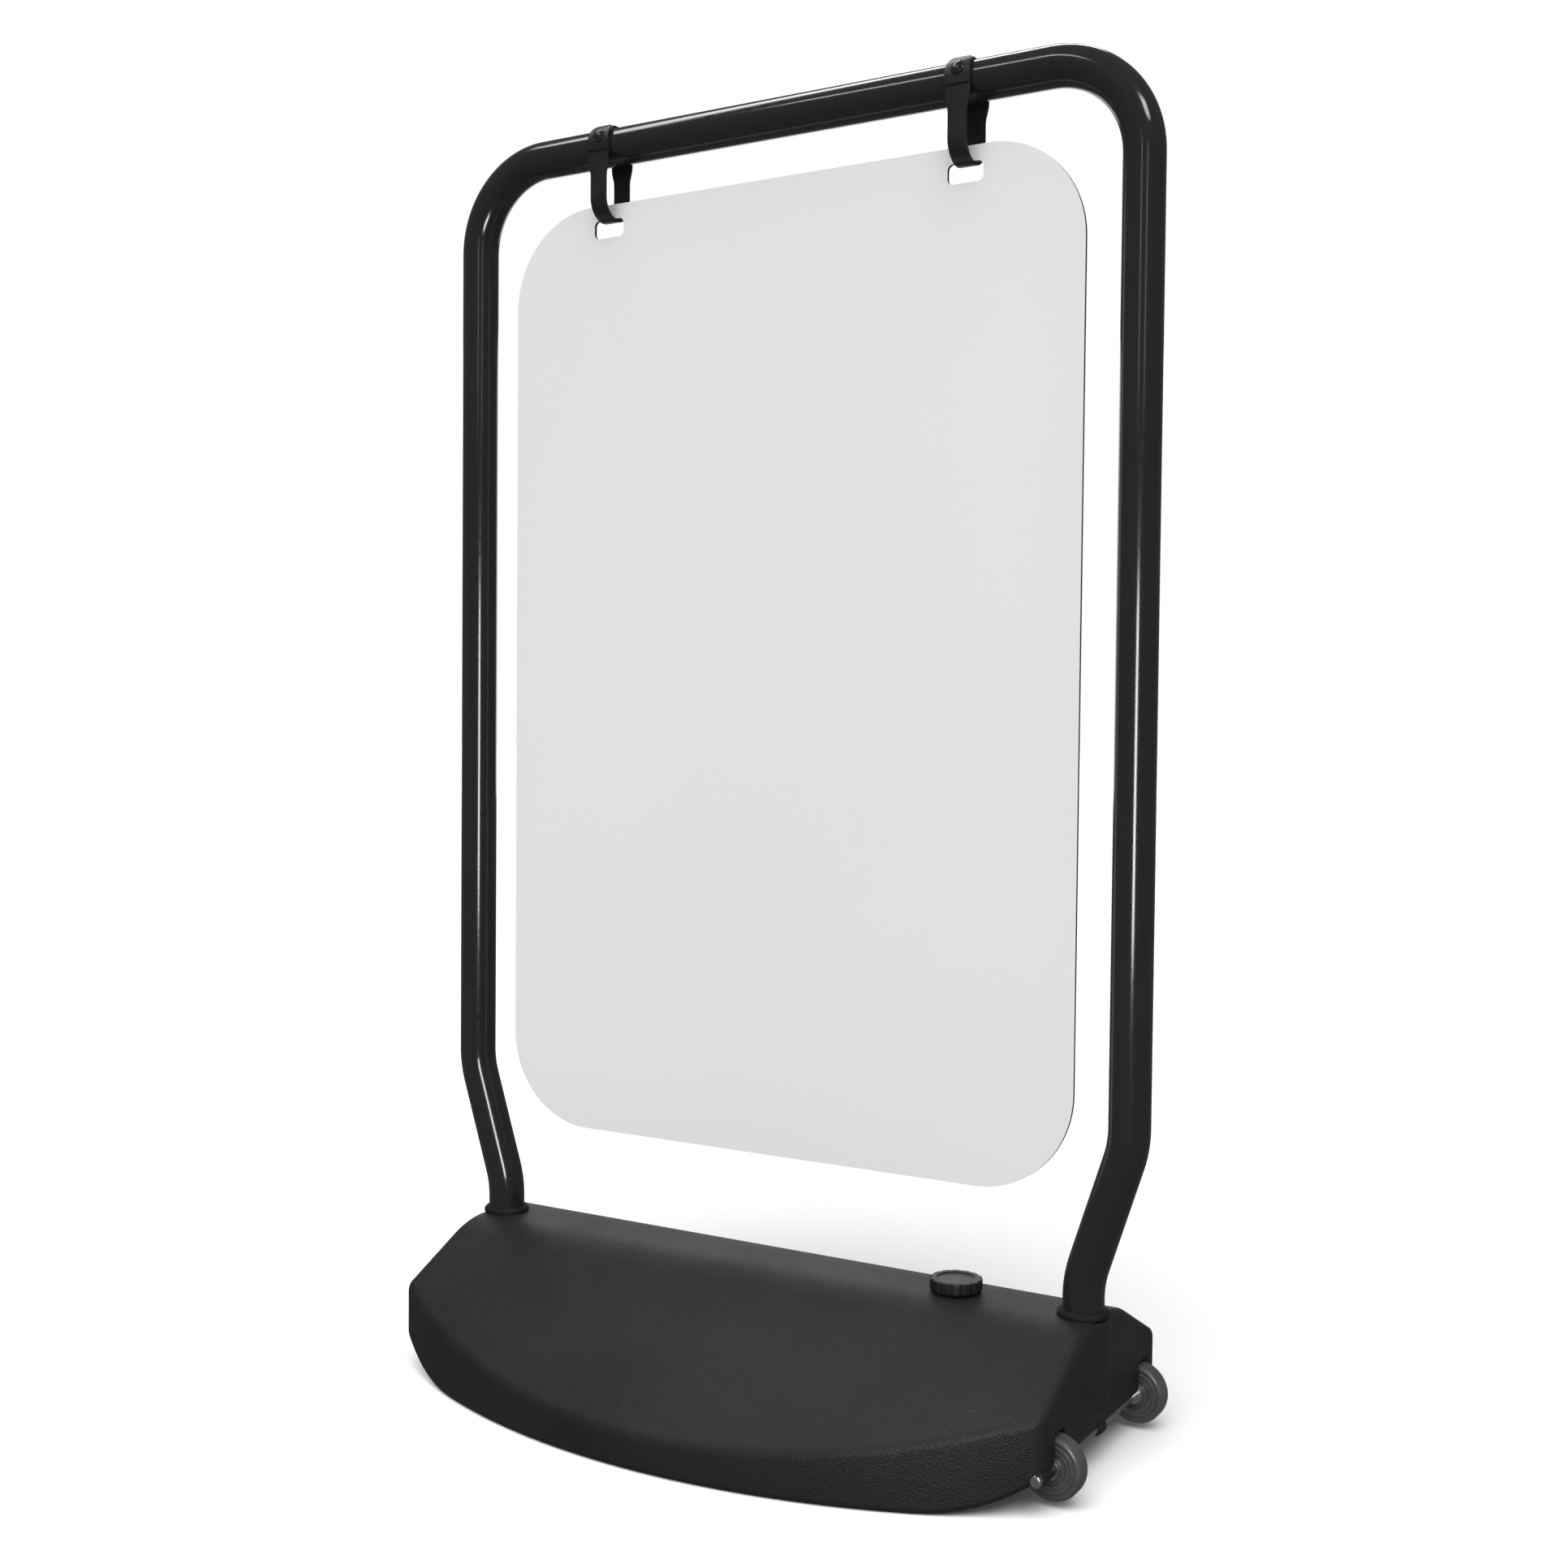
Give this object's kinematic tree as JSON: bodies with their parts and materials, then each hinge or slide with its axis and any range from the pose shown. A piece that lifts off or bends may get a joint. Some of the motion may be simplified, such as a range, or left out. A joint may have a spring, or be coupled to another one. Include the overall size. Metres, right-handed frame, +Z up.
{
  "type": "swinging pavement sign",
  "caption": "Pavement sign: a rectangular panel hung by strap loops from a bent tube hoop on a hollow, fillable base with carrying wheels at one end.",
  "frame": {"origin": "on the ground, under the middle of the base", "axes": "+X along the sign towards the wheels, +Y to the rear through the panel, +Z up"},
  "size_m": [0.622, 0.378, 1.0123],
  "materials": {
    "base": "fine pebble grain, moulded charcoal polyethylene",
    "cap": "satin black moulding",
    "seal": "matt rubber",
    "frame": "gloss black powder coat on steel tube",
    "rubber": "matt rubber",
    "steel": "bright zinc plate",
    "strap": "satin flexible plastic",
    "stud": "gloss black",
    "panel_core": "black polyethylene core",
    "panel_skin": "plain light grey satin lacquer on thin aluminium",
    "hub": "mid-grey moulding",
    "tyre": "grey thermoplastic rubber"
  },
  "bodies": {
    "stand": {"base_tank": "base", "frame_hoop": "frame", "foot_collar_left": "rubber", "foot_collar_right": "rubber", "post_insert_left": "steel", "post_insert_right": "steel", "post_bolts": "steel", "post_washers": "steel", "axle_rod": "steel", "axle_caps": "steel", "wheel_washers": "steel"},
    "left_hanger": {"hanger_strap_left": "strap", "hanger_stud_left": "stud"},
    "right_hanger": {"hanger_strap_right": "strap", "hanger_stud_right": "stud"},
    "panel": {"panel_core": "panel_core", "panel_skin_front": "panel_skin", "panel_skin_rear": "panel_skin"},
    "front_wheel": {"hub_front": "hub", "tyre_front": "tyre"},
    "rear_wheel": {"hub_rear": "hub", "tyre_rear": "tyre"},
    "cap_seal": {"cap_gasket": "seal"},
    "cap": {"filler_cap": "cap"}
  },
  "joints": [
    {"name": "left_hanger_swing", "type": "hinge", "parent": "stand", "child": "left_hanger", "pos_m": [-0.16, 0, 0.995], "axis": [1, 0, 0], "range_deg": [-70, 70]},
    {"name": "right_hanger_swing", "type": "hinge", "parent": "stand", "child": "right_hanger", "pos_m": [0.16, 0, 0.995], "axis": [1, 0, 0], "range_deg": [-70, 70]},
    {"name": "panel_tilt", "type": "hinge", "parent": "left_hanger", "child": "panel", "pos_m": [-0.16, 0, 0.9523], "axis": [1, 0, 0], "range_deg": [-20, 20]},
    {"name": "front_wheel_spin", "type": "hinge", "parent": "stand", "child": "front_wheel", "pos_m": [0.2755, -0.082, 0.0265], "axis": [0, 1, 0], "continuous": true},
    {"name": "rear_wheel_spin", "type": "hinge", "parent": "stand", "child": "rear_wheel", "pos_m": [0.2755, 0.082, 0.0265], "axis": [0, 1, 0], "continuous": true},
    {"name": "cap_lift", "type": "slide", "parent": "stand", "child": "cap_seal", "axis": [0, 0, 1], "range_m": [0, 0.012]},
    {"name": "cap_turn", "type": "hinge", "parent": "cap_seal", "child": "cap", "pos_m": [0.163, 0, 0.11], "axis": [0, 0, 1], "range_deg": [0, 1080]}
  ],
  "couplings": [
    {"joint": "right_hanger_swing", "follows": "left_hanger_swing", "ratio": 1},
    {"joint": "cap_lift", "follows": "cap_turn", "m_per_rad": 0.0006366}
  ]
}
